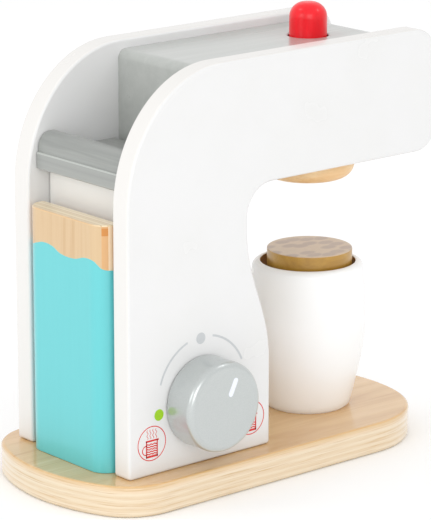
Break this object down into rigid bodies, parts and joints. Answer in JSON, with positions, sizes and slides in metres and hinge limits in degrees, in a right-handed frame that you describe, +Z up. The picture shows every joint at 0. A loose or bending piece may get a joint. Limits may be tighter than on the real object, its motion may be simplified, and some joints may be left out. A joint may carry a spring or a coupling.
{
  "type": "toy coffee maker",
  "caption": "Wooden toy coffee machine with an arm over a round-ended base, turning knob, sprung push button, hinged lid, loose water tank, cup and coffee pad.",
  "frame": {"origin": "middle of the base board's length and width, on the flat underside it stands on", "axes": "+X along the arm towards the cup, +Y away from the knob, +Z up"},
  "size_m": [0.189, 0.1006, 0.1893],
  "materials": {
    "clear_plywood": "birch plywood under clear satin lacquer",
    "white_lacquer": "satin white lacquer on a sanded fibre board",
    "column_white": "satin white lacquer on a sanded wooden block",
    "grey_paint": "light grey satin paint, the grain just shows",
    "tank_turquoise": "plywood, satin turquoise paint up to a wavy line, bare above",
    "natural_beech": "turned light wood, clear matt lacquer",
    "pad_wood": "light wood disc with a brown printed top",
    "red_lacquer": "turned wood, glossy red lacquer",
    "cup_white": "turned wood, white satin lacquer",
    "silver_paint": "turned wood, silver grey metallic paint",
    "dowel_wood": "raw fluted dowel",
    "zinc_steel": "zinc plated steel",
    "grey_felt": "thin felt"
  },
  "bodies": {
    "machine": {"base_board": "clear_plywood", "knob_side_panel": "white_lacquer", "plain_side_panel": "white_lacquer", "column_block": "column_white", "arm_block": "grey_paint", "brew_head": "natural_beech", "head_screws": "zinc_steel", "lid_pins": "zinc_steel", "knob_washer": "grey_felt", "button_spring": "zinc_steel", "column_dowels": "dowel_wood", "arm_dowels": "dowel_wood", "base_dowels": "dowel_wood", "base_screws": "zinc_steel"},
    "knob_unit": {"knob": "silver_paint", "knob_axle": "dowel_wood", "axle_clip": "zinc_steel"},
    "button": {"button": "red_lacquer"},
    "lid": {"lid_board": "grey_paint", "lid_grip": "grey_paint"},
    "tank": {"water_tank": "tank_turquoise"},
    "cup": {"cup": "cup_white"},
    "pad": {"coffee_pad": "pad_wood"}
  },
  "joints": [
    {"name": "knob_turn", "type": "hinge", "parent": "machine", "child": "knob_unit", "pos_m": [-0.0375, -0.045, 0.0404], "axis": [0, -1, 0], "range_deg": [-76, 128]},
    {"name": "button_press", "type": "slide", "parent": "machine", "child": "button", "axis": [0, 0, -1], "range_m": [0, 0.005], "stiffness_N_per_m": 150, "springref_m": -0.004, "deforming": ["button_spring"]},
    {"name": "lid_open", "type": "hinge", "parent": "machine", "child": "lid", "pos_m": [-0.0318, 0, 0.1344], "axis": [0, 1, 0], "range_deg": [0, 75]},
    {"name": "tank_pull", "type": "slide", "parent": "machine", "child": "tank", "axis": [-1, 0, 0], "range_m": [-0.0046, 0.05]},
    {"name": "cup_slide", "type": "slide", "parent": "machine", "child": "cup", "axis": [1, 0, 0], "range_m": [0, 0.044]},
    {"name": "pad_lift", "type": "slide", "parent": "cup", "child": "pad", "axis": [0, 0, 1], "range_m": [0, 0.025]}
  ]
}
